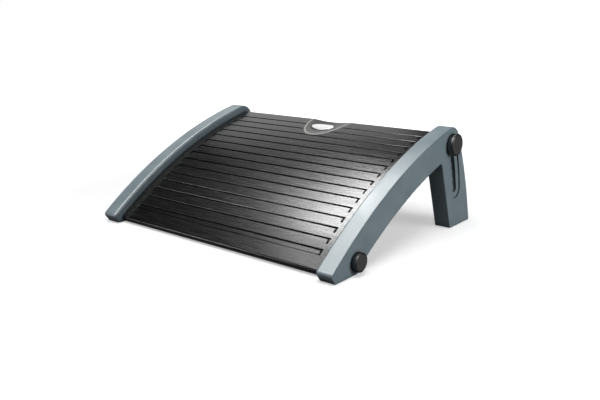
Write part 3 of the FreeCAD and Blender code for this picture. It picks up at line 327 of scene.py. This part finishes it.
def finish_surface(tree, output, colour, roughness, height, depth, metallic=0.0, specular=0.5,
                   rounding=0.0):
    """Close a material with one shader and a bump of the given depth in metres. A rounding in
    metres softens the edges first."""
    bump = node(tree, "ShaderNodeBump", Height=height, Distance=depth, Strength=1.0)
    if rounding:
        rounded = node(tree, "ShaderNodeBevel", Radius=rounding)
        rounded.samples = 8
        feed(tree, bump.inputs["Normal"], rounded.outputs["Normal"])
    surface = node(tree, "ShaderNodeBsdfPrincipled", Base_Color=colour, Roughness=roughness,
                   Metallic=metallic, Specular_IOR_Level=specular, Normal=bump.outputs["Normal"])
    feed(tree, output.inputs["Surface"], surface.outputs["BSDF"])


def dress(material, *names):
    """Give a material to CAD nodes."""
    for name in names:
        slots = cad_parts[name].data.materials
        slots.clear()
        slots.append(material)


def both_sides(*names):
    """The nodes of these names on the right and on the left."""
    return [side + name for name in names for side in ("right_", "left_")]


def frame_material(name, wall_shade=0.0, inner_shade=0.0):
    """Grained blue-grey plastic. Painted shade darkens its corners, and covers a share of the
    walls, which don't face to the side, and of the faces towards the middle of the footrest."""
    material, tree, output = new_material(name)
    grain = grouped(tree, mould_grain, Grain_Size=FRAME_GRAIN, Cloud_Size=FRAME_CLOUD)
    wear_and_shade = grouped(tree, edge_and_corner, Edge_Width=FRAME_EDGE_WIDTH,
                   Corner_Reach=FRAME_CORNER_REACH)
    facing = node(tree, "ShaderNodeSeparateXYZ",
                  Vector=node(tree, "ShaderNodeNewGeometry").outputs["Normal"]).outputs["X"]
    side = node(tree, "ShaderNodeSeparateXYZ", Vector=object_place(tree)).outputs["X"]
    sideways = maths(tree, "ABSOLUTE", facing)
    outwards = maths(tree, "MULTIPLY", facing, side)
    # The last three layers are painted shade: in closed-in corners, on the panels' walls and on
    # the faces towards the middle
    colour = layered(
        tree, FRAME_BLUE,
        (spread(tree, grain["Cloud"], CLOUD_SPAN), FRAME_BLUE_LIGHT),
        (spread(tree, grain["Grain"], FRAME_GRAIN_SPAN, (0.0, FRAME_GRAIN_SHARE)), FRAME_EDGE),
        (maths(tree, "MULTIPLY", wear_and_shade["Edge"], FRAME_RUBBED_SHARE), FRAME_EDGE),
        (spread(tree, wear_and_shade["Corner"], CORNER_SPAN, (0.0, FRAME_CORNER_SHADE_SHARE)), FRAME_PAINTED_SHADE),
        (spread(tree, sideways, WALL_SPAN, (wall_shade, 0.0)), FRAME_PAINTED_SHADE),
        (spread(tree, outwards, INNER_SPAN, (inner_shade, 0.0)), FRAME_PAINTED_SHADE))
    roughness = spread(tree, grain["Cloud"], NOISE_SPAN, FRAME_ROUGHNESS)
    gloss = spread(tree, closed_in(tree, FRAME_CORNER_REACH), CORNER_SPAN,
                   (1.0, FRAME_CORNER_GLOSS))
    finish_surface(tree, output, colour, roughness, grain["Grain"], FRAME_GRAIN_DEPTH,
                   specular=gloss)
    return material


dress(frame_material("frame_plastic", inner_shade=FRAME_INNER_SHADE_SHARE), *both_sides("side_frame"))
dress(frame_material("panel_plastic", wall_shade=PANEL_WALL_SHADE_SHARE), *both_sides("side_panel"))


# Panel screws
# Self-tapping steel screws, blackened, with the black rubbed off their edges. They go through the
# inner wall of a frame into the posts on the back of its outer panel.
SCREW_BLACK = (0.030, 0.030, 0.032, 1)
SCREW_RUBBED = (0.16, 0.16, 0.17, 1)
SCREW_ROUGHNESS = (0.35, 0.5)
TURNED_MARK = 0.0002
TURNED_STRETCH = 0.08
TURNED_DEPTH = 0.00001
METAL_CLOUD = 0.004
METAL_EDGE_WIDTH = 0.0003
METAL_CORNER_REACH = 0.0015


def mapped(tree, vector, **inputs):
    """A vector scaled, turned and then moved."""
    return node(tree, "ShaderNodeMapping", Vector=vector, **inputs).outputs["Vector"]


def metal_material(name, bright, dull, roughness, rubbed):
    """Metal with the fine marks of turning round X, dull patches and rubbed edges."""
    material, tree, output = new_material(name)
    stretched = mapped(tree, object_place(tree), Scale=(1, TURNED_STRETCH, TURNED_STRETCH))
    marks = noise(tree, TURNED_MARK, detail=2.0, vector=stretched)
    cloud = noise(tree, METAL_CLOUD, detail=4.0)
    wear_and_shade = grouped(tree, edge_and_corner, Edge_Width=METAL_EDGE_WIDTH,
                   Corner_Reach=METAL_CORNER_REACH)
    colour = layered(tree, bright, (spread(tree, cloud, CLOUD_SPAN), dull), (wear_and_shade["Edge"], rubbed))
    finish_surface(tree, output, colour, spread(tree, marks, NOISE_SPAN, roughness), marks,
                   TURNED_DEPTH, metallic=1.0)
    return material


dress(metal_material("black_screw", SCREW_BLACK, SCREW_BLACK, SCREW_ROUGHNESS, SCREW_RUBBED),
      *both_sides("panel_screws"))


# Foot pads
# Black rubber blocks glued into the floor faces of the frames, one under each toe and one under
# each leg, and scuffed grey by the floor.
RUBBER = (0.012, 0.012, 0.012, 1)
RUBBER_DUST = (0.07, 0.07, 0.068, 1)
RUBBER_ROUGHNESS = (0.70, 0.90)
RUBBER_GRAIN = 0.0008
RUBBER_GRAIN_DEPTH = 0.00008
RUBBER_CLOUD = 0.008
DUST_SPAN = (0.45, 0.75)
DUST_SHARE = 0.5

rubber, tree, output = new_material("pad_rubber")
grain = grouped(tree, mould_grain, Grain_Size=RUBBER_GRAIN, Cloud_Size=RUBBER_CLOUD)
dust = spread(tree, grain["Cloud"], DUST_SPAN, (0.0, DUST_SHARE))
finish_surface(tree, output, blended(tree, dust, RUBBER, RUBBER_DUST),
               spread(tree, grain["Cloud"], NOISE_SPAN, RUBBER_ROUGHNESS),
               grain["Grain"], RUBBER_GRAIN_DEPTH)
dress(rubber, *both_sides("front_foot_pad", "rear_foot_pad"))


# Platform
# One black moulding with a satin, faintly streaked grain. Shoes polish the tops of its bars, and
# the grooves stay dull, with painted shade in them and round the badge.
DECK_BLACK = (0.0010, 0.0011, 0.0012, 1)
DECK_GREY = (0.0030, 0.0032, 0.0031, 1)
DECK_SCUFF = (0.024, 0.024, 0.023, 1)
DECK_PAINTED_SHADE = (0.0008, 0.0008, 0.0008, 1)
DECK_PAINTED_HIGHLIGHT = (0.40, 0.40, 0.38, 1)
DECK_ROUGHNESS = (0.21, 0.31)
DECK_GLOSS = (0.5, 0.03)
DECK_GRAIN = 0.0004
DECK_GRAIN_DEPTH = 0.000008
DECK_CLOUD = 0.045
DECK_EDGE_WIDTH = 0.0005
DECK_CORNER_REACH = 0.0025
STREAK_LENGTH = 0.05
STREAK_WIDTH = 0.0012
# How strongly each layer shows
SCUFF_SHARE = 0.35
DECK_RUBBED_SHARE = 0.6
SHALLOW_SHEEN_SHARE = 0.16
RIM_HIGHLIGHT_SHARE = 0.65
GROOVE_ROUGHNESS = 0.35
DEEP_DULLNESS = 0.6
GRAIN_HEIGHT = 0.5
STREAK_HEIGHT = 0.5
# Where the layers begin and end
SCUFF_STREAKS = (0.60, 0.80)
SCUFF_CLOUDS = (0.45, 0.7)
GROOVE_SPAN = (0.3, 0.8)
ROUGH_SPAN = (0.3, 0.9)
DULL_SPAN = (0.10, 0.32)
# The top is an arch, and a round bar that lies from front to back, with a turn about X, cuts the
# dish out of it
ARCH_CENTRE = Vector((0, 0.280063, -0.569257))
ARCH_RADIUS = 0.7353
DISH_TURN = math.radians(11.944)
DISH_AXIS = Vector((0, 0, 0.356413))
DISH_RADIUS = 0.239256
RIM_DEPTH = 0.00024
SHALLOW_SPAN = (0.0002, 0.0016)
DEEP_SPAN = (0.0006, 0.0026)
BADGE_BACK = 0.093
BADGE_HALF = (0.0215, 0.0115)
BADGE_SHADE = 0.0022
BADGE_SHADE_SPAN = (0.94, 1.04)

deck_plastic, tree, output = new_material("deck_plastic")
place = object_place(tree)
grain = grouped(tree, mould_grain, Grain_Size=DECK_GRAIN, Cloud_Size=DECK_CLOUD)
wear_and_shade = grouped(tree, edge_and_corner, Edge_Width=DECK_EDGE_WIDTH, Corner_Reach=DECK_CORNER_REACH)
streak = noise(tree, STREAK_WIDTH, detail=4.0, roughness=0.65,
               vector=mapped(tree, place, Scale=(STREAK_WIDTH / STREAK_LENGTH, 1, 1)))
# The rim of the dish gets a painted highlight: it lies where the arch meets the bar that cuts the
# dish
on_arch = distance(tree, mapped(tree, place, Location=-ARCH_CENTRE, Scale=(0, 1, 1)))
turned = mapped(tree, place, Rotation=(-DISH_TURN, 0, 0))
in_dish = distance(tree, mapped(tree, turned, Location=-DISH_AXIS, Scale=(1, 0, 1)))
off_arch = maths(tree, "ABSOLUTE", maths(tree, "SUBTRACT", on_arch, ARCH_RADIUS))
off_dish = maths(tree, "ABSOLUTE", maths(tree, "SUBTRACT", in_dish, DISH_RADIUS))
rim = spread(tree, maths(tree, "MAXIMUM", off_arch, off_dish), (RIM_DEPTH / 2, RIM_DEPTH),
             (1.0, 0.0))
# Inside it the dish has a painted sheen near its rim, is dull where it is deep, and has painted
# shade round the badge
sunk = maths(tree, "SUBTRACT", ARCH_RADIUS, on_arch)
in_hollow = spread(tree, off_dish, (RIM_DEPTH, 2 * RIM_DEPTH), (1.0, 0.0))
shallow = maths(tree, "MULTIPLY", in_hollow, spread(tree, sunk, SHALLOW_SPAN, (1.0, 0.0)))
deep = maths(tree, "MULTIPLY", in_hollow, spread(tree, sunk, DEEP_SPAN))
shade_half = [half + BADGE_SHADE for half in BADGE_HALF]
from_badge = distance(tree, mapped(tree, place, Location=(0, -BADGE_BACK / shade_half[1], 0),
                                   Scale=(1 / shade_half[0], 1 / shade_half[1], 0)))
beside_badge = maths(tree, "MULTIPLY", in_hollow,
                     spread(tree, from_badge, BADGE_SHADE_SPAN, (1.0, 0.0)))

scuff = maths(tree, "MULTIPLY", spread(tree, streak, SCUFF_STREAKS),
              spread(tree, grain["Cloud"], SCUFF_CLOUDS))
colour = layered(
    tree, DECK_BLACK,
    (spread(tree, streak, NOISE_SPAN), DECK_GREY),
    (maths(tree, "MULTIPLY", scuff, SCUFF_SHARE), DECK_SCUFF),
    (maths(tree, "MULTIPLY", wear_and_shade["Edge"], DECK_RUBBED_SHARE), DECK_SCUFF),
    # Painted highlights: a sheen in the shallow part of the dish and a line along its rim
    (maths(tree, "MULTIPLY", shallow, SHALLOW_SHEEN_SHARE), DECK_PAINTED_HIGHLIGHT),
    (maths(tree, "MULTIPLY", rim, RIM_HIGHLIGHT_SHARE), DECK_PAINTED_HIGHLIGHT),
    # Painted shade in the grooves and round the badge
    (spread(tree, wear_and_shade["Corner"], GROOVE_SPAN), DECK_PAINTED_SHADE),
    (beside_badge, DECK_PAINTED_SHADE))
roughness = maths(tree, "ADD", spread(tree, streak, NOISE_SPAN, DECK_ROUGHNESS),
                  spread(tree, wear_and_shade["Corner"], ROUGH_SPAN, (0.0, GROOVE_ROUGHNESS)))
dull = maths(tree, "MAXIMUM", spread(tree, closed_in(tree, DECK_CORNER_REACH), DULL_SPAN),
             maths(tree, "MULTIPLY", deep, DEEP_DULLNESS))
gloss = spread(tree, maths(tree, "MAXIMUM", dull, beside_badge), (0.0, 1.0), DECK_GLOSS)
height = maths(tree, "ADD", maths(tree, "MULTIPLY", grain["Grain"], GRAIN_HEIGHT),
               maths(tree, "MULTIPLY", streak, STREAK_HEIGHT))
finish_surface(tree, output, colour, roughness, height, DECK_GRAIN_DEPTH, specular=gloss)
dress(deck_plastic, "platform")


# Threaded inserts
# Turned brass sleeves, moulded into the platform's four bosses. The bolts are screwed into their
# threads.
BRASS = (0.72, 0.50, 0.20, 1)
BRASS_DULL = (0.50, 0.34, 0.14, 1)
BRASS_ROUGHNESS = (0.25, 0.4)

dress(metal_material("turned_brass", BRASS, BRASS_DULL, BRASS_ROUGHNESS, BRASS),
      *both_sides("front_insert", "rear_insert"))


# Badge
# A domed oval plate with a glossy silver coat, glued into a seat in the dish at the platform's
# rear edge. Its face is bare.
SILVER = (0.92, 0.92, 0.92, 1)
SILVER_DULL = (0.80, 0.81, 0.81, 1)
SILVER_PAINTED_SHADE = (0.25, 0.25, 0.26, 1)
SILVER_SHADE_SHARE = 0.9
SILVER_ROUGHNESS = (0.16, 0.28)
SILVER_METALLIC = 0.25
POLISHED_GRAIN = 0.0003
POLISHED_GRAIN_DEPTH = 0.000006
POLISHED_CLOUD = 0.006
BADGE_CORNER_REACH = 0.0015

badge_silver, tree, output = new_material("badge_silver")
grain = grouped(tree, mould_grain, Grain_Size=POLISHED_GRAIN, Cloud_Size=POLISHED_CLOUD)
wear_and_shade = grouped(tree, edge_and_corner, Corner_Reach=BADGE_CORNER_REACH)
colour = layered(
    tree, SILVER,
    (spread(tree, grain["Cloud"], NOISE_SPAN), SILVER_DULL),
    # Painted shade round the edge of the badge, where it meets its seat
    (spread(tree, wear_and_shade["Corner"], CORNER_SPAN, (0.0, SILVER_SHADE_SHARE)), SILVER_PAINTED_SHADE))
finish_surface(tree, output, colour, spread(tree, grain["Cloud"], NOISE_SPAN, SILVER_ROUGHNESS),
               grain["Grain"], POLISHED_GRAIN_DEPTH, metallic=SILVER_METALLIC)
dress(badge_silver, "badge")


# Pivot bushes and slot followers
# Plain turned sleeves of black acetal round the bolts. The bushes sit in the frames at the front,
# and the followers run in the slots at the rear.
SLEEVE_BLACK = (0.012, 0.012, 0.012, 1)
SLEEVE_GREY = (0.030, 0.030, 0.030, 1)
SLEEVE_ROUGHNESS = (0.32, 0.48)
SLEEVE_GRAIN = 0.0003
SLEEVE_GRAIN_DEPTH = 0.00001
SLEEVE_CLOUD = 0.004

sleeve_plastic, tree, output = new_material("sleeve_plastic")
grain = grouped(tree, mould_grain, Grain_Size=SLEEVE_GRAIN, Cloud_Size=SLEEVE_CLOUD)
finish_surface(tree, output, blended(tree, grain["Cloud"], SLEEVE_BLACK, SLEEVE_GREY),
               spread(tree, grain["Cloud"], NOISE_SPAN, SLEEVE_ROUGHNESS),
               grain["Grain"], SLEEVE_GRAIN_DEPTH)
dress(sleeve_plastic, *both_sides("pivot_bush", "slot_follower"))


# Bolts and washers
# Zinc-plated steel. The bolts clamp the platform between the frames, and the rear washers lie in
# the sunk tracks of the panels.
ZINC = (0.52, 0.53, 0.53, 1)
ZINC_DULL = (0.36, 0.37, 0.37, 1)
ZINC_ROUGHNESS = (0.28, 0.44)

dress(metal_material("zinc_plate", ZINC, ZINC_DULL, ZINC_ROUGHNESS, ZINC),
      *both_sides("front_bolt", "rear_bolt", "front_washer", "rear_washer"))


# Hand knobs
# Fluted grips of polished black plastic, moulded round the heads of the bolts. Their edges are
# softly rounded.
KNOB_BLACK = (0.003, 0.003, 0.004, 1)
KNOB_EDGE = (0.045, 0.045, 0.046, 1)
KNOB_ROUGHNESS = (0.12, 0.26)
KNOB_GLOSS = 1.0
KNOB_ROUNDING = 0.0035
KNOB_EDGE_WIDTH = 0.0004
KNOB_CORNER_REACH = 0.002
KNOB_RUBBED_SHARE = 0.7

knob_plastic, tree, output = new_material("knob_plastic")
grain = grouped(tree, mould_grain, Grain_Size=POLISHED_GRAIN, Cloud_Size=POLISHED_CLOUD)
wear_and_shade = grouped(tree, edge_and_corner, Edge_Width=KNOB_EDGE_WIDTH, Corner_Reach=KNOB_CORNER_REACH)
rubbed = maths(tree, "MULTIPLY", wear_and_shade["Edge"], KNOB_RUBBED_SHARE)
finish_surface(tree, output, blended(tree, rubbed, KNOB_BLACK, KNOB_EDGE),
               spread(tree, grain["Cloud"], NOISE_SPAN, KNOB_ROUGHNESS),
               grain["Grain"], POLISHED_GRAIN_DEPTH, specular=KNOB_GLOSS, rounding=KNOB_ROUNDING)
dress(knob_plastic, *both_sides("front_knob", "rear_knob"))


# Knob faces
# Flat discs of matt dark grey plastic, pressed into the knobs over the bolt heads. The fine rings
# left by the turned mould run round their middle, and the face is bare.
FACE_DARK = (0.032, 0.033, 0.034, 1)
FACE_LIGHT = (0.060, 0.061, 0.062, 1)
FACE_ROUGHNESS = (0.42, 0.56)
FACE_GRAIN = 0.0004
FACE_CLOUD = 0.004
FACE_DEPTH = 0.00002
FACE_CORNER_REACH = 0.0015
RING_PITCH = 0.0007
# How much the clouds, the rings and the painted shade in the corners count in the colour, and the
# rings in the height
FACE_CLOUD_SHARE = 0.7
RING_SHARE = 0.06
FACE_CORNER_SHADE_SHARE = 0.8
RING_HEIGHT = 0.25


def face_material(name, cap):
    """Matt plastic with faint rings round the middle of a knob's face, and painted shade in its
    corners.
    """
    material, tree, output = new_material(name)
    low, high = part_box(cap)
    middle = (low + high) / 2
    from_middle = distance(tree, mapped(tree, object_place(tree),
                                        Location=(0, -middle.y, -middle.z), Scale=(0, 1, 1)))
    ring = maths(tree, "SINE", maths(tree, "MULTIPLY", from_middle, 2 * math.pi / RING_PITCH))
    grain = grouped(tree, mould_grain, Grain_Size=FACE_GRAIN, Cloud_Size=FACE_CLOUD)
    wear_and_shade = grouped(tree, edge_and_corner, Corner_Reach=FACE_CORNER_REACH)
    light = maths(tree, "ADD", maths(tree, "MULTIPLY", grain["Cloud"], FACE_CLOUD_SHARE),
                  maths(tree, "MULTIPLY", ring, RING_SHARE))
    colour = layered(
        tree, FACE_DARK,
        (light, FACE_LIGHT),
        # Painted shade in the corners of the face
        (spread(tree, wear_and_shade["Corner"], ROUGH_SPAN, (0.0, FACE_CORNER_SHADE_SHARE)), KNOB_BLACK))
    height = maths(tree, "ADD", grain["Grain"], maths(tree, "MULTIPLY", ring, RING_HEIGHT))
    finish_surface(tree, output, colour, spread(tree, grain["Cloud"], NOISE_SPAN, FACE_ROUGHNESS),
                   height, FACE_DEPTH)
    return material


for end in ("front", "rear"):
    dress(face_material(end + "_knob_face", f"right_{end}_knob_cap"),
          *both_sides(end + "_knob_cap"))
